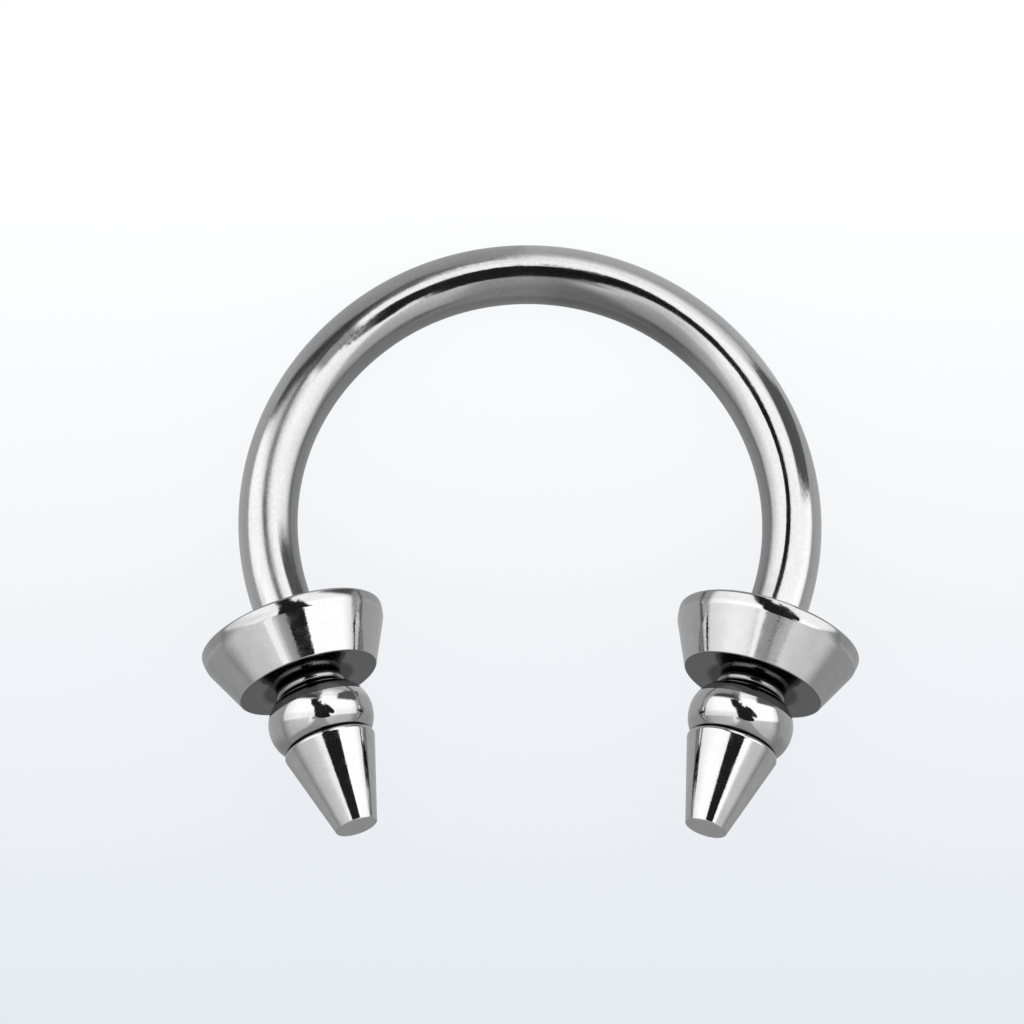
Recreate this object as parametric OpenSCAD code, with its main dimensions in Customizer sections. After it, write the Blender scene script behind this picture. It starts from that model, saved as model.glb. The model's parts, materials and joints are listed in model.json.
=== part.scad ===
// Horseshoe barbell for a body piercing, lying on its side.
// A bent wire carries a turned end piece on each of its two threaded pins.
// The ring plane is tilted, because the part rests on the two collar rims and on the top of the arch.
// Lengths are in millimetres, +Z is up, the open side faces -Y, and the floor is at z = 0.

/* [Wire] */
// Diameter of the round wire
wire_d = 1.6; // [1.2:0.1:2.4]
// Inside width of the bend at its widest
inner_w = 12.5; // [10:0.5:16]
// How much taller the arch is than a true half circle
arch_rise = 0.25; // [0:0.05:0.6]
// Angle in degrees by which each side turns in past the widest point
turn_in = 17.5; // [12:0.5:22]
// Straight stretch of wire in front of each end piece
straight_l = 0.9; // [0.6:0.1:1.5]

// How far the straight stretch is turned down below the surface of the wire
turned_step = 0.02; // [0.01:0.01:0.05]

/* [Threaded pin] */
// Step from the turned end down to the pin, which stops the end piece
pin_step = 0.08; // [0.05:0.01:0.2]
// Length of the pin
pin_l = 1.3; // [0.8:0.1:1.3]
// Chamfer on the free end of the pin
pin_chamfer = 0.12; // [0.05:0.01:0.2]

/* [Fit] */
// Radial clearance between the pin and the hole that takes it
hole_gap = 0.05; // [0.02:0.01:0.1]
// Space left in the hole past the end of the pin
hole_end_gap = 0.1; // [0.05:0.05:0.15]
// Gap between the shoulder of the wire and the face of the collar
seat_gap = 0.03; // [0.01:0.01:0.1]

/* [Collar] */
// Widest diameter of the collar, at its rim
collar_d = 5.1; // [4:0.1:6]
// Diameter of the flat underside of the collar
collar_base_d = 3.85; // [3.2:0.05:4.5]
// Height of the collar
collar_h = 1.6; // [1.5:0.1:2.5]
// Radius of the rounded rim
rim_r = 0.2; // [0.1:0.05:0.4]

/* [Neck ring] */
// Widest diameter of the small ring under the collar
neck_d = 1.9; // [1.8:0.05:2.3]
// Diameter of the ring where it meets its neighbours
neck_root_d = 1.56; // [1.5:0.02:1.7]
// Height of the ring
neck_h = 0.4; // [0.35:0.05:0.8]

/* [Bead] */
// Widest diameter of the flattened bead
bead_d = 2.86; // [2.6:0.02:3.4]
// Height of the bead
bead_h = 1.42; // [1.2:0.02:1.8]
// Diameter of the groove between the bead and the spike
groove_d = 2.2; // [2:0.05:2.3]

/* [Spike] */
// Widest diameter of the spike, at its shoulder
spike_d = 2.5; // [2.4:0.05:3]
// Length of the spike
spike_l = 2.5; // [1.5:0.1:4]
// Diameter of the blunt tip
tip_d = 1.16; // [0.8:0.02:1.6]
// Radius of the rounded shoulder
shoulder_r = 0.2; // [0.1:0.05:0.3]
// Radius of the crisp edges of the collar underside and the tip
edge_r = 0.05; // [0.02:0.01:0.1]

/* [Hidden] */
$fn = 96;
LEFT = -1;
RIGHT = 1;

// Centreline of the bend: a crown arc between two side arcs, tangent where they meet
wire_r = wire_d / 2;
half_w = inner_w / 2 + wire_r;
// The arcs' centres and the middle of the ring form a right triangle with sides as 3 to 4 to 5
blend_a = 53.1301;
side_c = 1.5 * arch_rise;
side_r = half_w + side_c;
crown_c = 2 * arch_rise;
crown_r = half_w - arch_rise;
arch_h = crown_c + crown_r;

// Turned end of the wire, which starts inside the bend, its pin, and the hole for the pin
turned_r = wire_r - turned_step;
turned_bite = 0.3;
pin_r = turned_r - pin_step;
hole_r = pin_r + hole_gap;
hole_l = pin_l - seat_gap + hole_end_gap;

// Stations of the end piece along its axis, counted from the face of the collar
neck_at = collar_h;
bead_at = neck_at + neck_h;
spike_at = bead_at + bead_h;
end_l = spike_at + spike_l;

// Rounded corners of the end piece, each as its centre and its radius
rim = [collar_d / 2 - rim_r, rim_r, rim_r];
base_edge = [collar_base_d / 2 - edge_r, collar_h - edge_r, edge_r];
shoulder = [spike_d / 2 - shoulder_r, spike_at + shoulder_r, shoulder_r];
tip_edge = [tip_d / 2 - edge_r, end_l - edge_r, edge_r];

// Right end of the wire in the ring plane, where the pin starts, and the way the pin points
pin_dir = [-sin(turn_in), -cos(turn_in)];
pin_at = [side_r * cos(turn_in) - side_c, -side_r * sin(turn_in)] + straight_l * pin_dir;

// Tilt of the ring plane at which both rims and the top of the arch touch the floor
rim_v = pin_at.y + (seat_gap + rim.y) * pin_dir.y;
reach = arch_h - rim_v;
lift = wire_r - rim.z;
quad_a = pow(reach, 2) + pow(rim.x * pin_dir.y, 2);
quad_c = pow(lift, 2) - pow(rim.x, 2);
tilt = asin((sqrt(pow(reach * lift, 2) - quad_a * quad_c) - reach * lift) / quad_a);

// Place of the ring plane's origin, which centres the part's box over the world origin
tip_v = pin_at.y + (seat_gap + tip_edge.y) * pin_dir.y;
tip_spread = sqrt(1 - pow(pin_dir.y * cos(tilt), 2));
back_y = arch_h * cos(tilt) + wire_r;
front_y = tip_v * cos(tilt) - tip_edge.x * tip_spread - tip_edge.z;
ring_y = -(back_y + front_y) / 2;
ring_z = arch_h * sin(tilt) + wire_r;

// Outward direction that is square to the line touching two rounded corners
function outward(a, b) =
    let (step = [b.x - a.x, b.y - a.y])
    let (along = step / norm(step))
    let (share = (a.z - b.z) / norm(step))
    share * along + sqrt(1 - share * share) * [along.y, -along.x];

function center(corner) = [corner.x, corner.y];

// Half outline of a turned piece between two flat faces, with a rounded corner at each
module turned(a, b) {
    n = outward(a, b);
    top = a.y - a.z;
    bottom = b.y + b.z;
    polygon([
        [0, top],
        [a.x, top],
        center(a) + a.z * n,
        center(b) + b.z * n,
        [b.x, bottom],
        [0, bottom],
    ]);
    for (corner = [a, b]) {
        translate(center(corner)) circle(r = corner.z);
    }
}

// Half outline of a barrel whose side is one arc from end to end
module barrel(mid_r, end_r, h) {
    bulge = mid_r - end_r;
    arc_r = (pow(h / 2, 2) + pow(bulge, 2)) / (2 * bulge);
    square([end_r, h]);
    intersection() {
        square([mid_r, h]);
        translate([mid_r - arc_r, h / 2]) circle(r = arc_r);
    }
}

// Half outline of a whole end piece, with the hole for the pin
module end_outline() {
    difference() {
        union() {
            turned(rim, base_edge);
            translate([0, neck_at]) barrel(neck_d / 2, neck_root_d / 2, neck_h);
            translate([0, bead_at]) barrel(bead_d / 2, groove_d / 2, bead_h);
            turned(shoulder, tip_edge);
        }
        square([hole_r, hole_l]);
    }
}

// Puts what is drawn in the ring plane at its place and tilt on the floor
module at_rest() {
    translate([0, ring_y, ring_z]) rotate([-tilt, 0, 0]) children();
}

// Puts what is drawn along +Z on the axis of one pin, with z = 0 at the shoulder of the wire
module on_pin(side) {
    translate([side * pin_at.x, pin_at.y, 0]) rotate([90, 0, -side * turn_in]) children();
}

// Stretch of bent wire about a centre in the ring plane, counted from its first angle
module bend(bend_center, bend_r, from, turn) {
    translate(bend_center) rotate_extrude(start = from, angle = turn)
        translate([bend_r, 0]) circle(r = wire_r);
}

// Straight turned end of the wire with its shoulder and pin
module wire_end() {
    rotate_extrude() polygon([
        [0, -straight_l - turned_bite],
        [turned_r, -straight_l - turned_bite],
        [turned_r, 0],
        [pin_r, 0],
        [pin_r, pin_l - pin_chamfer],
        [pin_r - pin_chamfer, pin_l],
        [0, pin_l],
    ]);
}

module bar() {
    color("silver") at_rest() {
        bend([0, crown_c], crown_r, blend_a, 180 - 2 * blend_a);
        for (flip = [0, 1]) {
            mirror([flip, 0]) bend([-side_c, 0], side_r, -turn_in, turn_in + blend_a);
        }
        for (side = [LEFT, RIGHT]) {
            on_pin(side) wire_end();
        }
    }
}

module end_piece(side) {
    color("gainsboro") at_rest() on_pin(side)
        translate([0, 0, seat_gap]) rotate_extrude() end_outline();
}

module left_end() {
    end_piece(LEFT);
}

module right_end() {
    end_piece(RIGHT);
}

bar();
left_end();
right_end();
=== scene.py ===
"""Looks of the horseshoe barbell: three polished steel pieces, a pale floor, studio light and the camera."""

import json
import math

import bpy
import numpy as np
from mathutils import Matrix, Vector


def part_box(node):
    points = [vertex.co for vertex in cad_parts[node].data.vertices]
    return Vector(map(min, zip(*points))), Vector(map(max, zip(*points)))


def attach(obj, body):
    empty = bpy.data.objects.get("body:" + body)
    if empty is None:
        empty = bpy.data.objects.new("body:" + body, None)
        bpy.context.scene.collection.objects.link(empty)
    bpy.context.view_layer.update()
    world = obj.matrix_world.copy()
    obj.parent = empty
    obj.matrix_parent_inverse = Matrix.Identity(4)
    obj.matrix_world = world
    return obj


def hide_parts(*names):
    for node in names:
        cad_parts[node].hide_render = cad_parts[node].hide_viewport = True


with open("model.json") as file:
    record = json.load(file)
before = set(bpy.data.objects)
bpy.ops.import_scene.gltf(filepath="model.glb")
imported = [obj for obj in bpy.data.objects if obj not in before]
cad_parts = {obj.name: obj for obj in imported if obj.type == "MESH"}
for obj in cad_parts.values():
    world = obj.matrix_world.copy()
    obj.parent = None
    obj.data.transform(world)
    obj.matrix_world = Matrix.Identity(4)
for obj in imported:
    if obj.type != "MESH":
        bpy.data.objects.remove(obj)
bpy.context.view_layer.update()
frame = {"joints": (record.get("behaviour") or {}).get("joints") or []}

# Sizes of the part in millimetres, as its solids have them
WIRE_R = 0.8
HALF_W = 7.05
ARCH_RISE = 0.25
STRAIGHT_L = 0.9
PIN_L = 1.3
PIN_CHAMFER = 0.12
HOLE_R = 0.75
HOLE_L = 1.37
SEAT_GAP = 0.03
COLLAR_BASE_R = 1.925
COLLAR_H = 1.6
NECK_R = 0.95
NECK_ROOT_R = 0.78
NECK_H = 0.4
BEAD_R = 1.43
BEAD_H = 1.42
GROOVE_R = 1.1
SPIKE_R = 1.25
SPIKE_L = 2.5
TIP_R = 0.58
EDGE_R = 0.05
END_L = COLLAR_H + NECK_H + BEAD_H + SPIKE_L

# Rim of the collar: a rounded top edge, a nearly upright band under it, then the slanting side
RIM_EDGE_R = 0.085
RIM_EDGE_CENTER_R = 2.433
BAND_H = 0.295
BAND_TOP_SLOPE = 2
BAND_LOW_SLOPE = 14
RIM_BLEND_R = 0.25

# Heights of the bead and the spike. The dome starts a little nearer the collar than in the solids.
OPEN_NECK_H = 0.31
DOME_AT = COLLAR_H + OPEN_NECK_H
BEAD_AT = COLLAR_H + NECK_H
BEAD_WIDEST_AT = BEAD_AT + BEAD_H / 2
SPIKE_AT = BEAD_AT + BEAD_H

# Turn of the bead's outline from its widest place up to the neck and down to the spike, in degrees
DOME_SWEEP = 88
BELLY_SWEEP = 70

# The thread that the pins and the holes carry, which the solids leave plain
THREAD_PITCH = 0.25
PIN_CREST_R = 0.70
PIN_ROOT_R = 0.56
HOLE_CREST_R = 0.73
HOLE_ROOT_R = 0.83

# Share of a thread ridge that is flat at its root, and as much again at its crest
RIDGE_FLAT = 0.1875

# Rounding of the spike's upper edge, tighter than the solids have it
SPIKE_EDGE_R = 0.11

# A scuffed place on the left shoulder of the bend and the worn stretch below it: the scuff's middle along
# the wire, and how far across the wire the middle of each lies
SCUFF_AT = 8.4
SCUFF_X = -0.03
WORN_X = 0.08

# How finely the meshes are cut: columns round an axis, and rows to a turn of the thread
AROUND = 128
ROWS_A_TURN = 16

# Points of two rows that lie nearer than this, in millimetres, are one vertex
SAME_PLACE = 1e-7

LEFT = -1
RIGHT = 1
MM = 0.001

# Way of the right pin in the world, which gives the turn of the ends and the tilt of the ring
joint_axes = {joint["name"]: Vector(joint["axis"]) for joint in frame["joints"]}
right_axis = joint_axes["right_unscrew"]
TURN_IN = math.asin(-right_axis.x)
TILT = math.atan2(right_axis.z, -right_axis.y)

# Arcs of the bend: their centres and radii in the ring plane. The centres span a 3-4-5 triangle, so that the
# crown's arc meets the side's without a kink.
CROWN_CENTER = np.array([0.0, 2 * ARCH_RISE])
CROWN_R = HALF_W - ARCH_RISE
SIDE_CENTER = np.array([-1.5 * ARCH_RISE, 0.0])
SIDE_R = HALF_W + 1.5 * ARCH_RISE
BLEND = math.atan2(4, 3)
ARCH_H = CROWN_CENTER[1] + CROWN_R

# Rounding of the wire's shoulder, and the way along the wire from its left end to the top of the arch
SHOULDER_EDGE = 0.03
CROWN_AT = STRAIGHT_L - SHOULDER_EDGE + SIDE_R * (TURN_IN + BLEND) + CROWN_R * (math.pi / 2 - BLEND)

# From the ring plane, in millimetres, to the world, in metres
bar_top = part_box("bar")[1].y / MM
ring_place = Vector((0, bar_top - WIRE_R - ARCH_H * math.cos(TILT), WIRE_R + ARCH_H * math.sin(TILT)))
REST = Matrix.Rotation(-TILT, 4, "X")
RING_TO_WORLD = Matrix.Scale(MM, 4) @ Matrix.Translation(ring_place) @ REST


def on_pin(side):
    """Matrix from one pin's own frame to the ring plane.

    In the pin's frame +Z runs along the pin, and z = 0 lies at the wire's shoulder.
    """
    turn_in = np.array([-math.sin(TURN_IN), -math.cos(TURN_IN)])
    foot = SIDE_CENTER + SIDE_R * np.array([math.cos(TURN_IN), -math.sin(TURN_IN)]) + STRAIGHT_L * turn_in
    place = Matrix.Translation((side * foot[0], foot[1], 0))
    return place @ Matrix.Rotation(-side * TURN_IN, 4, "Z") @ Matrix.Rotation(math.pi / 2, 4, "X")


def arc(center, radius, start, end, steps):
    """Outline stations along an arc, as (place, outward normal), for angles in degrees from +r towards +z."""
    angles = np.radians(np.linspace(start, end, steps + 1))
    normals = np.stack([np.cos(angles), np.sin(angles)], 1)
    return [(np.array(center) + radius * normal, normal) for normal in normals]


def line(start, end, normal):
    """The two outline stations of a straight stretch, with its outward normal."""
    return [(np.array(place, float), np.array(normal, float)) for place in (start, end)]


def outward(a, b):
    """Angle in degrees of the outward normal of the line that touches two rounded corners.

    Each corner is (r, z, radius).
    """
    step = np.array([b[0] - a[0], b[1] - a[1]])
    length = np.linalg.norm(step)
    share = (a[2] - b[2]) / length
    along = step / length
    normal = share * along + math.sqrt(1 - share * share) * np.array([along[1], -along[0]])
    return math.degrees(math.atan2(normal[1], normal[0]))


def turned(a, b, steps):
    """Outline of a turned piece from the rounded corner a, under a face that looks to -z, to the corner b."""
    slope = outward(a, b)
    return arc(a[:2], a[2], -90, slope, steps) + arc(b[:2], b[2], slope, 90, steps)


def barrel(mid_r, end_r, start, height, steps):
    """Outline of a side that bulges in one arc."""
    bulge = mid_r - end_r
    arc_r = ((height / 2) ** 2 + bulge**2) / (2 * bulge)
    sweep = math.degrees(math.asin(height / 2 / arc_r))
    return arc((mid_r - arc_r, start + height / 2), arc_r, -sweep, sweep, steps)


def oval(wide_r, wide_z, end_r, end_z, sweep, steps):
    """Stations of an elliptic arc from the widest place of a bead to a narrower end, above or below it."""
    sweep = math.radians(sweep)
    depth = (wide_r - end_r) / (1 - math.cos(sweep))
    height = (end_z - wide_z) / math.sin(sweep)
    stations = []
    for turn in np.linspace(0, sweep, steps + 1):
        place = np.array([wide_r - depth * (1 - math.cos(turn)), wide_z + height * math.sin(turn)])
        normal = np.array([abs(height) * math.cos(turn), math.copysign(depth, height) * math.sin(turn)])
        stations.append((place, normal / np.linalg.norm(normal)))
    return stations


def revolve(stations):
    """Rows of (places, normals) round the axis for outline stations."""
    angles = np.linspace(0, 2 * math.pi, AROUND, endpoint=False)
    ring = np.stack([np.cos(angles), np.sin(angles)], 1)
    rows = []
    for place, normal in stations:
        points = np.column_stack([place[0] * ring, np.full(AROUND, place[1])])
        normals = np.column_stack([normal[0] * ring, np.full(AROUND, normal[1])])
        rows.append((points, normals))
    return rows


def thread(root_r, crest_r, start, end, limit, inward=False):
    """Rows of a helical thread between two heights, with a radius that limit(z) may cut."""
    count = int(round((end - start) / THREAD_PITCH * ROWS_A_TURN))
    heights = np.linspace(start, end, count + 1)
    angles = np.linspace(0, 2 * math.pi, AROUND, endpoint=False)
    z, turn = np.meshgrid(heights, angles, indexing="ij")
    phase = (z / THREAD_PITCH - turn / (2 * math.pi)) % 1
    ridge = np.clip((1 - np.abs(2 * phase - 1) - RIDGE_FLAT) / (1 - 2 * RIDGE_FLAT), 0, 1)
    ridge = ridge * ridge * (3 - 2 * ridge)
    radius = limit(root_r + (crest_r - root_r) * ridge, z)
    points = np.stack([radius * np.cos(turn), radius * np.sin(turn), z], 2)
    slope_z = np.gradient(radius, heights, axis=0)
    slope_turn = (np.roll(radius, -1, 1) - np.roll(radius, 1, 1)) / (4 * math.pi / AROUND)
    outward_part = np.stack([np.cos(turn), np.sin(turn), -slope_z], 2)
    around_part = (slope_turn / radius)[..., None] * np.stack([np.sin(turn), -np.cos(turn), 0 * turn], 2)
    normals = outward_part + around_part
    normals /= np.linalg.norm(normals, axis=2, keepdims=True)
    if inward:
        normals = -normals
    return [(points[i], normals[i]) for i in range(count + 1)]


def skin(name, rows, to_world, lay_rows=None):
    """Mesh object over rows of points that close round an axis, with exact normals at every corner.

    Rows at the same place share their vertices, so a sharp edge keeps its two normals and the mesh stays
    closed. The attribute "lay" holds each point before it is placed, in millimetres, for the materials.
    """
    verts, lay, row_ids = [], [], []
    for k, (points, _) in enumerate(rows):
        if k and np.allclose(points, rows[k - 1][0], atol=SAME_PLACE):
            row_ids.append(row_ids[-1])
            continue
        first = len(verts)
        pole = np.ptp(points, axis=0).max() < SAME_PLACE
        kept = points[:1] if pole else points
        kept_lay = (lay_rows[k] if lay_rows else points)[: len(kept)]
        verts.extend(kept)
        lay.extend(kept_lay)
        row_ids.append(np.full(AROUND, first) if pole else first + np.arange(AROUND))
    verts = np.array(verts)
    faces, corner_normals = [], []
    for k in range(len(rows) - 1):
        a, b = row_ids[k], row_ids[k + 1]
        if a is b:
            continue
        na, nb = rows[k][1], rows[k + 1][1]
        for i in range(AROUND):
            j = (i + 1) % AROUND
            corners = [(a[i], na[i]), (b[i], nb[i]), (b[j], nb[j]), (a[j], na[j])]
            if a[i] == a[j]:
                corners = corners[:3]
            elif b[i] == b[j]:
                corners = [corners[0], corners[1], corners[3]]
            faces.append([int(c[0]) for c in corners])
            corner_normals.append([c[1] for c in corners])
    first, second, third = (verts[[face[k] for face in faces]] for k in range(3))
    flat = np.cross(second - first, third - first)
    facing = np.einsum("ij,ij->i", flat, np.array([n[0] for n in corner_normals]))
    for f in np.nonzero(facing < 0)[0]:
        faces[f].reverse()
        corner_normals[f].reverse()
    matrix = np.array(to_world)
    placed = verts @ matrix[:3, :3].T + matrix[:3, 3]
    turn = matrix[:3, :3] / np.linalg.norm(matrix[:3, 0])
    normals = np.array([n for face in corner_normals for n in face]) @ turn.T
    mesh = bpy.data.meshes.new(name)
    mesh.from_pydata(placed.tolist(), [], faces)
    mesh.shade_smooth()
    grain = mesh.attributes.new("lay", "FLOAT_VECTOR", "POINT")
    grain.data.foreach_set("vector", np.array(lay, np.float32).ravel())
    mesh.normals_split_custom_set(normals.tolist())
    mesh.update()
    obj = bpy.data.objects.new(name, mesh)
    bpy.context.scene.collection.objects.link(obj)
    return obj


def end_rows():
    """Rows of an end piece in its own frame, from the bottom of its hole over the collar to the tip."""
    relief = 0.12
    lip = 0.03
    base = (COLLAR_BASE_R - EDGE_R, COLLAR_H - EDGE_R, EDGE_R)
    shoulder = (SPIKE_R - SPIKE_EDGE_R, SPIKE_AT + SPIKE_EDGE_R, SPIKE_EDGE_R)
    tip = (TIP_R - EDGE_R, END_L - EDGE_R, EDGE_R)

    def inside(radius, z):
        """The thread's radius, which runs out to the plain hole's at both ends."""
        cut = HOLE_R + np.clip(np.minimum(z - relief, HOLE_L - relief - z), 0, 1)
        return np.minimum(radius, cut)

    hole = thread(HOLE_ROOT_R, HOLE_CREST_R, relief, HOLE_L - relief, inside, inward=True)
    bottom = line((0, HOLE_L), (HOLE_R, HOLE_L), (0, -1))
    bottom += line((HOLE_R, HOLE_L), (HOLE_R, HOLE_L - relief), (-1, 0))
    outline = line((HOLE_R, relief), (HOLE_R, lip), (-1, 0))
    outline += arc((HOLE_R + lip, lip), lip, 180, 270, 4)
    rim_edge = arc((RIM_EDGE_CENTER_R, RIM_EDGE_R), RIM_EDGE_R, -90, BAND_TOP_SLOPE, 10)
    band_start = rim_edge[-1][0]
    band_r = BAND_H / (math.sin(math.radians(BAND_LOW_SLOPE)) - math.sin(math.radians(BAND_TOP_SLOPE)))
    band_center = band_start - band_r * rim_edge[-1][1]
    band = arc(band_center, band_r, BAND_TOP_SLOPE, BAND_LOW_SLOPE, 8)
    blend_center = band[-1][0] - RIM_BLEND_R * band[-1][1]
    slope = outward((*blend_center, RIM_BLEND_R), base)
    outline += rim_edge + band[1:]
    outline += arc(blend_center, RIM_BLEND_R, BAND_LOW_SLOPE, slope, 6)[1:]
    outline += arc(base[:2], base[2], slope, 90, 6)
    outline += line((base[0], COLLAR_H), (NECK_ROOT_R, COLLAR_H), (0, 1))
    outline += barrel(NECK_R, NECK_ROOT_R, COLLAR_H, DOME_AT - COLLAR_H, 16)
    outline += oval(BEAD_R, BEAD_WIDEST_AT, NECK_ROOT_R, DOME_AT, DOME_SWEEP, 28)[::-1]
    outline += oval(BEAD_R, BEAD_WIDEST_AT, GROOVE_R, SPIKE_AT, BELLY_SWEEP, 20)[1:]
    outline += turned(shoulder, tip, 12)
    outline += line((tip[0], END_L), (0, END_L), (0, 1))
    return revolve(bottom) + hole[::-1] + revolve(outline)


def pin_rows():
    """Rows of the wire's shoulder and threaded pin in the pin's own frame.

    They run from the shoulder's edge to the pin's end.
    """
    undercut = 0.08

    def cut(radius, z):
        """The thread's radius, which rises from the undercut and falls along the chamfer at the end."""
        chamfer = PIN_CREST_R - PIN_CHAMFER + (PIN_L - z)
        run_in = PIN_ROOT_R + (z - undercut)
        return np.minimum(radius, np.minimum(chamfer, run_in))

    rows = revolve(arc((WIRE_R - SHOULDER_EDGE, -SHOULDER_EDGE), SHOULDER_EDGE, 0, 90, 4))
    rows += revolve(line((WIRE_R - SHOULDER_EDGE, 0), (PIN_ROOT_R, 0), (0, 1)))
    rows += revolve(line((PIN_ROOT_R, 0), (PIN_ROOT_R, undercut), (1, 0)))
    rows += thread(PIN_ROOT_R, PIN_CREST_R, undercut, PIN_L, cut)
    last_r = np.linalg.norm(rows[-1][0][0, :2])
    rows += revolve(line((last_r, PIN_L), (0, PIN_L), (0, 1)))
    return rows


def bend_stations():
    """Stations of the wire's centreline from the left straight end over the arch to the right one.

    Each is (place, outward normal) in the ring plane.
    """
    crown_steps, side_steps, straight_steps = 96, 120, 6
    right = []
    for angle in np.linspace(math.pi / 2, BLEND, crown_steps + 1):
        normal = np.array([math.cos(angle), math.sin(angle)])
        right.append((CROWN_CENTER + CROWN_R * normal, normal))
    for angle in np.linspace(BLEND, -TURN_IN, side_steps + 1)[1:]:
        normal = np.array([math.cos(angle), math.sin(angle)])
        right.append((SIDE_CENTER + SIDE_R * normal, normal))
    place, normal = right[-1]
    along = np.array([normal[1], -normal[0]])
    for share in np.linspace(0, 1, straight_steps + 1)[1:]:
        right.append((place + share * (STRAIGHT_L - SHOULDER_EDGE) * along, normal))
    left = [(place * [-1, 1], normal * [-1, 1]) for place, normal in right[:0:-1]]
    return left + right


def pin_on_wire(side, wire_row):
    """Rows of one pin past the wire's end row, as (points, normals, points in the pin's own frame).

    A pin's columns start on its own +X and turn the other way round the wire on one side, so each of them
    is matched with the nearest column of the wire.
    """
    matrix = np.array(on_pin(side))
    turn = matrix[:3, :3]
    placed = [(points @ turn.T + matrix[:3, 3], normals @ turn.T, points) for points, normals in pin_rows()]
    first = placed[0][0]
    nearest = [int(np.argmin(np.linalg.norm(first - point, axis=1))) for point in wire_row]
    return [(points[nearest], normals[nearest], own[nearest]) for points, normals, own in placed[1:]]


def bar_object():
    """The bent wire with its two threaded pins, as one closed mesh."""
    angles = np.linspace(0, 2 * math.pi, AROUND, endpoint=False)
    stations = bend_stations()
    rows, lay = [], []
    run = 0.0
    for k, (place, normal) in enumerate(stations):
        if k:
            run += np.linalg.norm(place - stations[k - 1][0])
        across = np.array([normal[0], normal[1], 0.0])
        normals = np.cos(angles)[:, None] * across + np.sin(angles)[:, None] * np.array([0, 0, 1.0])
        rows.append((np.array([place[0], place[1], 0.0]) + WIRE_R * normals, normals))
        lay.append(np.column_stack([WIRE_R * np.cos(angles), WIRE_R * np.sin(angles), np.full(AROUND, run)]))
    left_pin = pin_on_wire(LEFT, rows[0][0])[::-1]
    right_pin = pin_on_wire(RIGHT, rows[-1][0])
    left_rows = [(points, normals) for points, normals, _ in left_pin]
    right_rows = [(points, normals) for points, normals, _ in right_pin]
    left_lay = [np.column_stack([own[:, :2], -own[:, 2]]) for _, _, own in left_pin]
    right_lay = [np.column_stack([own[:, :2], run + own[:, 2]]) for _, _, own in right_pin]
    return skin("bent_bar", left_rows + rows + right_rows, RING_TO_WORLD, left_lay + lay + right_lay)


# The noise nodes' colours spread evenly round this one
NOISE_MIDDLE = (0.5, 0.5, 0.5)


class Socket:
    """A number inside a node tree that adds, scales and combines like a plain number."""

    def __init__(self, tree, output):
        self.tree = tree
        self.output = output

    def math(self, operation, *others):
        """This number put through a Math node with the others."""
        node = self.tree.nodes.new("ShaderNodeMath")
        node.operation = operation
        for slot, value in zip(node.inputs, (self,) + others):
            if isinstance(value, Socket):
                self.tree.links.new(value.output, slot)
            else:
                slot.default_value = value
        return Socket(self.tree, node.outputs[0])

    def __add__(self, other):
        return self.math("ADD", other)

    def __sub__(self, other):
        return self.math("SUBTRACT", other)

    def __mul__(self, other):
        return self.math("MULTIPLY", other)

    def __truediv__(self, other):
        return self.math("DIVIDE", other)

    def off(self, place):
        """How far this number is from a fixed one."""
        return (self - place).math("ABSOLUTE")

    def mix(self, other, share):
        """This number where the share is 0, blending to the other where it is 1."""
        difference = other - self if isinstance(other, Socket) else self * -1.0 + other
        return self + difference * share

    def ramp(self, low, high, to_low=0.0, to_high=1.0):
        """Smooth rise from to_low to to_high as the number goes from low to high."""
        node = self.tree.nodes.new("ShaderNodeMapRange")
        node.interpolation_type = "SMOOTHSTEP"
        self.tree.links.new(self.output, node.inputs["Value"])
        for slot, value in (("From Min", low), ("From Max", high), ("To Min", to_low), ("To Max", to_high)):
            node.inputs[slot].default_value = value
        return Socket(self.tree, node.outputs["Result"])


def dot(tree, vector_output, direction):
    """Part of a vector along a fixed direction."""
    node = tree.nodes.new("ShaderNodeVectorMath")
    node.operation = "DOT_PRODUCT"
    tree.links.new(vector_output, node.inputs[0])
    node.inputs[1].default_value = direction
    return Socket(tree, node.outputs["Value"])


def lay_parts(tree):
    """The attribute "lay" as three numbers in millimetres."""
    lay = tree.nodes.new("ShaderNodeAttribute")
    lay.attribute_name = "lay"
    parts = tree.nodes.new("ShaderNodeSeparateXYZ")
    tree.links.new(lay.outputs["Vector"], parts.inputs[0])
    return [Socket(tree, parts.outputs[k]) for k in range(3)]


def noise(tree, numbers, cells, detail=2.0):
    """Noise node over three numbers, with so many cells to a unit of each."""
    place = tree.nodes.new("ShaderNodeCombineXYZ")
    for slot, number, count in zip(place.inputs, numbers, cells):
        tree.links.new((number * count).output, slot)
    node = tree.nodes.new("ShaderNodeTexNoise")
    node.inputs["Scale"].default_value = 1.0
    node.inputs["Detail"].default_value = detail
    tree.links.new(place.outputs[0], node.inputs["Vector"])
    return node


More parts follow.
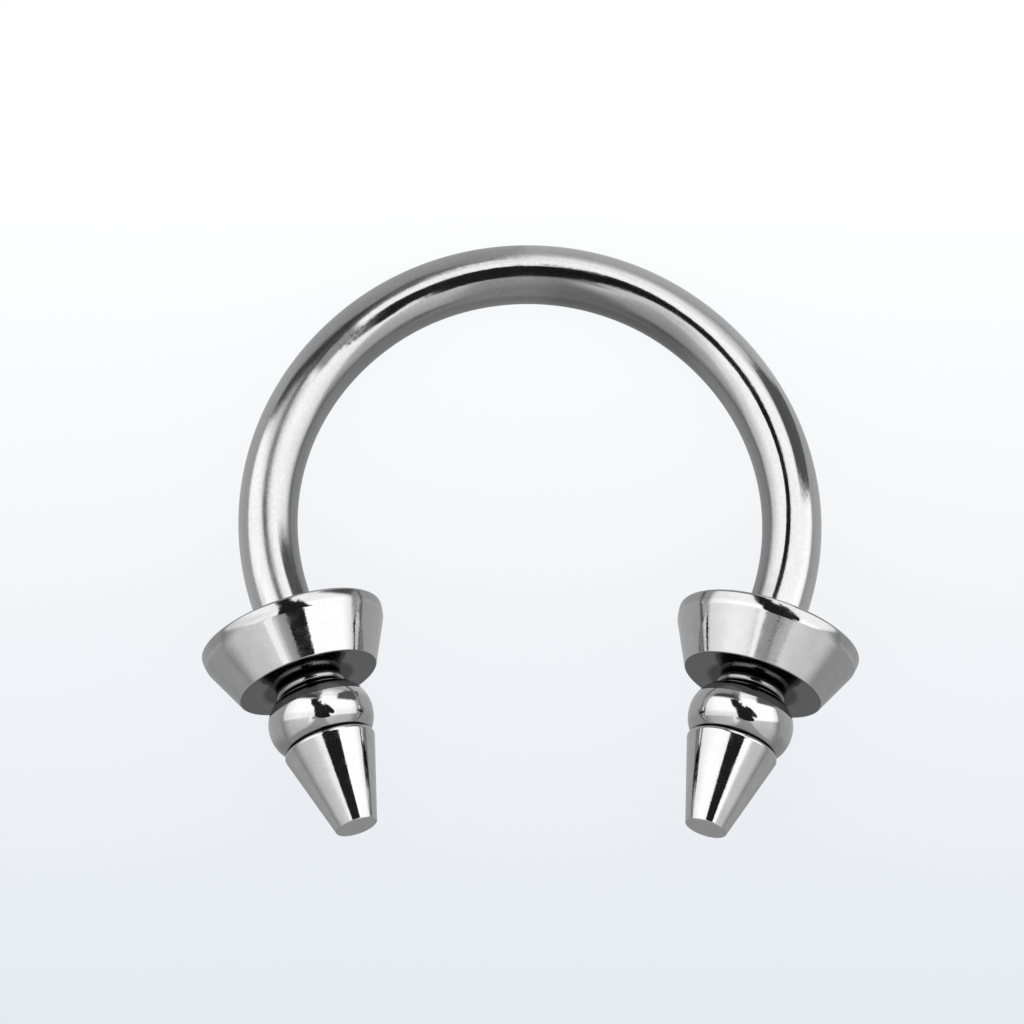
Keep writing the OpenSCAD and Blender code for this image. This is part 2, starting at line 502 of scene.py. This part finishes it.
def rippled_normal(tree, ripples):
    """The surface normal, pushed off by noise nodes, each with a strength that is a number or a Socket."""
    normal = tree.nodes.new("ShaderNodeNewGeometry").outputs["Normal"]
    for node, strength in ripples:
        centred = tree.nodes.new("ShaderNodeVectorMath")
        centred.operation = "SUBTRACT"
        tree.links.new(node.outputs["Color"], centred.inputs[0])
        centred.inputs[1].default_value = NOISE_MIDDLE
        scaled = tree.nodes.new("ShaderNodeVectorMath")
        scaled.operation = "SCALE"
        tree.links.new(centred.outputs[0], scaled.inputs[0])
        if isinstance(strength, Socket):
            tree.links.new(strength.output, scaled.inputs["Scale"])
        else:
            scaled.inputs["Scale"].default_value = strength
        total = tree.nodes.new("ShaderNodeVectorMath")
        total.operation = "ADD"
        tree.links.new(normal, total.inputs[0])
        tree.links.new(scaled.outputs[0], total.inputs[1])
        normal = total.outputs[0]
    unit = tree.nodes.new("ShaderNodeVectorMath")
    unit.operation = "NORMALIZE"
    tree.links.new(normal, unit.inputs[0])
    return unit.outputs[0]


def steel(name, look):
    """Metal whose brightness, roughness and normal come from look(tree)."""
    material = bpy.data.materials.new(name)
    material.use_nodes = True
    tree = material.node_tree
    shader = tree.nodes["Principled BSDF"]
    shader.inputs["Metallic"].default_value = 1.0
    brightness, roughness, normal = look(tree)
    tree.links.new(brightness.output, shader.inputs["Base Color"])
    tree.links.new(roughness.output, shader.inputs["Roughness"])
    tree.links.new(normal, shader.inputs["Normal"])
    return material


def wire_look(tree):
    """Polished wire: hair lines along its length, a rougher inside of the bend with painted shade, a scuffed
    left shoulder and painted light on the outer sides of the legs.

    The attribute's x points out of the bend, y to the front of the ring, and run along the wire.
    """
    x, y, run = lay_parts(tree)
    hair = noise(tree, (x, y, run), (26, 26, 1.2), 3.0)
    waves = noise(tree, (x, y, run), (1.5, 1.5, 0.6), 1.0)
    grain = noise(tree, (x, y, run), (16, 16, 9), 3.0)
    speckle = Socket(tree, grain.outputs[0])
    patches = Socket(tree, noise(tree, (x, y, run), (4, 4, 0.9)).outputs[0])
    # Places: the inside of the bend, rougher and darkened with painted shade, a stretch of it right of the
    # crown with more painted shade, the scuff, the worn stretch below it, and the outer side of the two legs,
    # with painted light
    inward = x / -WIRE_R
    # Painted shade: the inside of the bend is made darker as well as rougher, and a stretch of it right of
    # the crown darker still
    inside = inward.ramp(0.15, 0.95)
    painted_shade_stretch = inward.ramp(-0.05, 0.3)
    painted_shade_stretch = painted_shade_stretch * run.ramp(CROWN_AT - 0.5, CROWN_AT + 1.5) * run.ramp(CROWN_AT + 7, CROWN_AT + 4)
    front = y.ramp(0, 0.2)
    scuff = x.off(SCUFF_X).ramp(0.2, 0.06) * run.off(SCUFF_AT).ramp(1.2, 0.5) * front
    worn = x.off(WORN_X).ramp(0.3, 0.1) * run.ramp(SCUFF_AT - 0.4, SCUFF_AT - 1.9) * front
    # Painted light: the outer sides of the legs, away from the crown, are made brighter
    painted_light_sides = x.ramp(0.2, 0.6) * run.off(CROWN_AT).ramp(5, 8)
    brightness = patches.ramp(0.3, 0.7, 0.53, 0.56) * speckle.ramp(0.3, 0.7, 0.96, 1.04)
    brightness = brightness * inside.ramp(0, 1, 1, 0.72) * painted_shade_stretch.ramp(0, 1, 1, 0.7)
    brightness = brightness * scuff.ramp(0, 1, 1, 0.3) * painted_light_sides.ramp(0, 1, 1, 1.16)
    roughness = patches.ramp(0.35, 0.7, 0.06, 0.12) + inside * 0.14 + scuff * 0.04 + worn * 0.17
    ripples = [(hair, 0.03), (waves, 0.02), (grain, (scuff + worn * 0.3).ramp(0, 1, 0.03, 0.07))]
    return brightness, roughness, rippled_normal(tree, ripples)


def end_look(tree):
    """Turned ends: polished, a rougher tip and bore, a darker rim, and painted shade where one turned form
    meets the next.
    """
    x, y, z = lay_parts(tree)
    radius = (x * x + y * y).math("SQRT")
    angle = y.math("ARCTAN2", x)
    lines = noise(tree, (radius, z, angle), (28, 28, 1.5), 3.0)
    grain = noise(tree, (x, y, z), (20, 20, 20), 3.0)
    speckle = Socket(tree, grain.outputs[0])
    waves = noise(tree, (x, y, z), (1.8, 1.8, 1.8), 1.0)
    patches = Socket(tree, noise(tree, (x, y, z), (3, 3, 3)).outputs[0])
    # Places along the piece and round its axis. The underside is the collar's face towards the bead.
    underside = z.ramp(COLLAR_H - 0.02, COLLAR_H - 0.005) * z.ramp(COLLAR_H + 0.03, COLLAR_H + 0.005)
    # Painted shadow of the neck and the bead on the collar's underside, close to the neck
    shadowed = underside * radius.ramp(1.4, 1.1)
    tip = z.ramp(END_L - 0.02, END_L - 0.005)
    rim = z.ramp(0.36, 0.24)
    neck = z.ramp(COLLAR_H + 0.005, COLLAR_H + 0.03) * z.ramp(DOME_AT + 0.06, DOME_AT)
    dome = z.ramp(DOME_AT - 0.1, DOME_AT - 0.02) * z.ramp(DOME_AT + 0.26, DOME_AT + 0.12)
    belly = z.ramp(BEAD_AT + 0.85, BEAD_AT + 1.35) * z.ramp(SPIKE_AT + 0.02, SPIKE_AT)
    crease = z.off(SPIKE_AT).ramp(0.08, 0.02)
    bore = radius.ramp(0.86, 0.8) * z.ramp(COLLAR_H, COLLAR_H - 0.1)
    # Each place with the share of the steel's brightness that is left there: painted shade under the collar,
    # in the bore, round the neck, on the bead's top and lower part and in the crease, and a darker rim
    zones = (
        (underside, 0.3), (shadowed, 0.2), (rim, 0.84), (neck, 0.6),
        (dome, 0.2), (belly, 0.8), (crease, 0.12), (bore, 0.6),
    )
    brightness = patches.ramp(0.3, 0.7, 0.59, 0.63) * speckle.ramp(0.3, 0.7, 0.97, 1.03)
    for zone, share in zones:
        brightness = brightness * zone.ramp(0, 1, 1, share)
    roughness = patches.ramp(0.35, 0.7, 0.05, 0.11) + tip * 0.3 + rim * 0.03 + bore * 0.2
    grit = underside.ramp(0, 1, 0.03, 0.08) + tip * 0.2
    ripples = [(lines, 0.014), (waves, 0.012), (grain, grit)]
    return brightness, roughness, rippled_normal(tree, ripples)


bar = bar_object()
bar.data.materials.append(steel("polished_wire", wire_look))
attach(bar, "ring")
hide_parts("bar")

turned_steel = steel("turned_steel", end_look)
seat = Matrix.Translation((0, 0, SEAT_GAP))
for side, label in ((LEFT, "left"), (RIGHT, "right")):
    end = skin(f"{label}_screw_end", end_rows(), RING_TO_WORLD @ on_pin(side) @ seat)
    end.data.materials.append(turned_steel)
    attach(end, f"{label}_screw")
    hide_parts(f"{label}_end")

# Camera, as the photograph sees the ring: the angles from the ring's normal to the line of sight, and the
# distance in millimetres
VIEW_TILT = math.radians(22.36)
VIEW_YAW = math.radians(1.196)
VIEW_ROLL = math.radians(-0.291)
VIEW_DISTANCE = 333.3

# Scale of the picture at the ring, the width of the frame, and the ring's place in it
PIXELS_PER_MM = 37.157
FRAME_PIXELS = 1024
RING_CENTER_PIXEL = (530.02, 523.56)

# Width of the camera's sensor in millimetres, and how near and how far it sees in metres
SENSOR = 36.0
NEAREST_SEEN = 0.01
FARTHEST_SEEN = 10


def add_camera():
    """Camera at the photograph's angle to the ring, with the ring at its place in the photograph's frame."""
    look = Matrix.Rotation(VIEW_ROLL, 4, "Z") @ Matrix.Rotation(VIEW_YAW, 4, "Y")
    look = look @ Matrix.Rotation(-VIEW_TILT, 4, "X")
    to_world = RING_TO_WORLD @ look.transposed()
    half = FRAME_PIXELS / 2
    aside = (half - RING_CENTER_PIXEL[0]) / PIXELS_PER_MM
    above = (RING_CENTER_PIXEL[1] - half) / PIXELS_PER_MM
    data = bpy.data.cameras.new("camera")
    data.sensor_width = SENSOR
    data.lens = SENSOR * PIXELS_PER_MM * VIEW_DISTANCE / FRAME_PIXELS
    data.clip_start = NEAREST_SEEN
    data.clip_end = FARTHEST_SEEN
    camera = bpy.data.objects.new("camera", data)
    place = to_world @ Vector((aside, above, VIEW_DISTANCE))
    rotation = to_world.to_3x3().normalized()
    camera.matrix_world = Matrix.Translation(place) @ rotation.to_4x4()
    bpy.context.scene.collection.objects.link(camera)
    bpy.context.scene.camera = camera
    return camera


camera = add_camera()


def panel(tree, chart, corners, soft):
    """1 inside a convex panel of the chart and 0 outside, for corners counted counter-clockwise."""
    inside = None
    for k, (x, y) in enumerate(corners):
        next_x, next_y = corners[(k + 1) % len(corners)]
        length = math.hypot(next_x - x, next_y - y)
        normal = ((y - next_y) / length, (next_x - x) / length)
        side = dot(tree, chart, (*normal, -normal[0] * x - normal[1] * y))
        inside = side if inside is None else inside.math("MINIMUM", side)
    return inside.ramp(-soft, soft)


# Brightness of the softboxes and flags that the steel reflects, of the even light on the floor, and of the
# backdrop that the camera sees
SOFTBOX = 1.65
FLAG = 0.02
AMBIENT = 1.1
BACKDROP = 0.95

# Smallest sine that the chart divides by, so that its middle stays defined
SMALLEST_SINE = 1e-4

# Panels by direction: corners in degrees right of and above the way from the ring to the camera,
# then the softness of their edges in degrees and their brightness
PANELS = (
    # Shade under the flag, nearer and farther
    ([(-35, -75), (43, -75), (16, -13), (4, -8), (-6, -9)], 2.5, 0.53),
    ([(-95, -85), (70, -85), (22, -48), (-9, -32), (-15, -29)], 6.0, 0.46),
    # Thin light strip beside the flag, and a grey one at its foot
    ([(-21, -20.5), (-12, -16.5), (-12, 12), (-22, 14)], 1.2, 1.4),
    ([(-15, -3.5), (-13.5, -8), (3, -11), (5, -7), (-12, -1.5)], 1.2, 0.44),
    # Left softbox over its dimmer foot
    ([(-86, -4), (-24, 0), (-24, 24), (-86, 24)], 2.5, 1.38),
    ([(-86, 16), (-2, 14), (-2, 47), (-21, 52.5), (-44, 58), (-66, 62), (-82, 60)], 5.0, SOFTBOX),
    # Right softbox, and its upper part over the flag
    ([(23, -5), (87, -2), (87, 46), (0, 46), (0, 20)], 2.5, SOFTBOX),
    ([(1, 44), (38, 44), (34, 56), (24, 61), (1, 61)], 5.0, SOFTBOX),
    # Flag before the camera with its foot and its two arms, and a light notch between them
    (
        [(-13, 23), (-9, -1.5), (1, -7.5), (21, -8), (22.5, 6), (22, 20), (11, 36), (2, 43), (-10, 42)],
        1.2, FLAG,
    ),
    ([(4.2, -8.3), (9, -9.4), (14, -10.0), (24.5, -8), (25.5, -2), (23, 2), (1, 2)], 0.6, FLAG),
    ([(16, 9), (29, 2.5), (33, 5.5), (33, 11), (25.7, 22.3), (17, 31.7), (10, 30)], 0.8, FLAG),
    ([(-24, 52), (-20, 34), (-13, 25), (-4.5, 44), (-6, 53)], 1.2, FLAG),
    ([(1, 46), (2, 35), (9, 31), (10.5, 36), (5, 44)], 1.2, 1.6),
    # Gap between the softboxes, and the shade over the left one
    ([(-9, 48), (-4, 48), (-2, 56), (-6, 74), (-16, 78), (-18, 62)], 3.0, 0.22),
    ([(-12, 53), (-9, 60), (-16, 70), (-32, 73), (-64, 75), (-78, 68)], 4.0, 0.08),
)
# Those that also reach behind the ring: a barn door and a shade under the right softbox
WIDE_PANELS = (
    ([(38, 48), (60, 45.4), (84, 43.8), (96, 66), (94, 80), (58, 78), (38, 66)], 3.5, 0.13),
    ([(60, -112), (106, -112), (100, -46), (66, -48)], 6.0, 0.4),
)


def light_studio(camera):
    """A world whose brightness depends on direction alone: softboxes, flags and a plain pale room.

    Only reflections see the panels. The floor is lit evenly from all sides, and the backdrop is plain.
    """
    world = bpy.data.worlds.new("studio")
    bpy.context.scene.world = world
    world.use_nodes = True
    world.cycles.sampling_method = "NONE"
    tree = world.node_tree
    direction = tree.nodes.new("ShaderNodeTexCoord").outputs["Generated"]
    axes = camera.matrix_world.to_3x3()
    # The chart: each direction's angle from the way to the camera, shared out to the right and upwards
    x, y, z = (dot(tree, direction, axes.col[k]) for k in range(3))
    angle = z.math("ARCCOSINE").math("DEGREES")
    spread = angle / (x * x + y * y).math("SQRT").math("MAXIMUM", SMALLEST_SINE)
    across, up = x * spread, y * spread
    chart = tree.nodes.new("ShaderNodeCombineXYZ")
    tree.links.new(across.output, chart.inputs[0])
    tree.links.new(up.output, chart.inputs[1])
    chart.inputs[2].default_value = 1.0
    # The room between the panels, with a ceiling that is bright on the right and grey on the left
    light = angle.ramp(20, 60, 1, 0.83) + angle.ramp(66, 96, 0, -0.42) + up.ramp(-6, 10, 0, 0.28)
    rightward = across.ramp(-3, 4)
    above = (up.ramp(58, 92, 1.68, 0.72) * across.ramp(14, 40, 1, 0.74) - 0.42) * rightward + 0.42
    light = light.mix(above, up.ramp(60, 68))
    for corners, soft, level in PANELS:
        light = light.mix(level, panel(tree, chart.outputs[0], corners, soft))
    # The light falls off to both sides, and behind the ring the room is grey
    light = light * across.ramp(-88, -46, 0.78, 1) * across.ramp(68, 92, 1, 0.7)
    behind = angle.ramp(95, 125, 0.46, 0.5) * up.ramp(-90, -40, 0.76, 1)
    behind = behind + up.ramp(60, 100, 0, 0.14) * rightward
    light = light.mix(behind, angle.ramp(88, 98))
    for corners, soft, level in WIDE_PANELS:
        light = light.mix(level, panel(tree, chart.outputs[0], corners, soft))
    path = tree.nodes.new("ShaderNodeLightPath")
    seen = Socket(tree, path.outputs["Is Camera Ray"])
    plain = tree.nodes["Background"]
    tree.links.new((seen * (BACKDROP - AMBIENT) + AMBIENT).output, plain.inputs["Strength"])
    plain.inputs["Color"].default_value = (1, 1, 1, 1)
    studio = tree.nodes.new("ShaderNodeBackground")
    studio.inputs["Color"].default_value = (1, 1, 1, 1)
    tree.links.new(light.output, studio.inputs["Strength"])
    mix = tree.nodes.new("ShaderNodeMixShader")
    tree.links.new(path.outputs["Is Glossy Ray"], mix.inputs["Fac"])
    tree.links.new(plain.outputs[0], mix.inputs[1])
    tree.links.new(studio.outputs[0], mix.inputs[2])
    tree.links.new(mix.outputs[0], tree.nodes["World Output"].inputs["Surface"])


light_studio(camera)

# The floor: half its width in metres, its tones near the camera and far from it, the stretch in millimetres
# over which they change, and the share of it that takes a shadow
FLOOR_HALF = 1.5
FLOOR_NEAR = (0.75, 0.80, 0.86, 1)
FLOOR_FAR = (1.0, 1.0, 1.0, 1)
FADE_MM = (-16, 10)
SHADOW_SHARE = 0.07


def pale_floor():
    """Floor material that mostly glows by itself, so that the ring's shadow on it stays faint."""
    material = bpy.data.materials.new("floor_pale")
    material.use_nodes = True
    tree = material.node_tree
    tree.nodes.clear()
    where = tree.nodes.new("ShaderNodeTexCoord").outputs["Object"]
    shade = tree.nodes.new("ShaderNodeMix")
    shade.data_type = "RGBA"
    fade = dot(tree, where, (0, 1 / MM, 0))
    share = (fade - FADE_MM[0]) / (FADE_MM[1] - FADE_MM[0])
    tree.links.new(share.output, shade.inputs["Factor"])
    shade.inputs["A"].default_value = FLOOR_NEAR
    shade.inputs["B"].default_value = FLOOR_FAR
    glow = tree.nodes.new("ShaderNodeEmission")
    matt = tree.nodes.new("ShaderNodeBsdfDiffuse")
    mix = tree.nodes.new("ShaderNodeMixShader")
    mix.inputs["Fac"].default_value = SHADOW_SHARE
    for slot, shader in ((1, glow), (2, matt)):
        tree.links.new(shade.outputs["Result"], shader.inputs["Color"])
        tree.links.new(shader.outputs[0], mix.inputs[slot])
    tree.links.new(mix.outputs[0], tree.nodes.new("ShaderNodeOutputMaterial").inputs["Surface"])
    return material


def lay_floor():
    """The plain floor, which the steel doesn't reflect."""
    mesh = bpy.data.meshes.new("floor")
    corners = [(x * FLOOR_HALF, y * FLOOR_HALF, 0) for x, y in ((-1, -1), (1, -1), (1, 1), (-1, 1))]
    mesh.from_pydata(corners, [], [(0, 1, 2, 3)])
    mesh.materials.append(pale_floor())
    floor = bpy.data.objects.new("floor", mesh)
    floor.visible_glossy = False
    bpy.context.scene.collection.objects.link(floor)


lay_floor()
bpy.context.scene.view_settings.view_transform = "Standard"
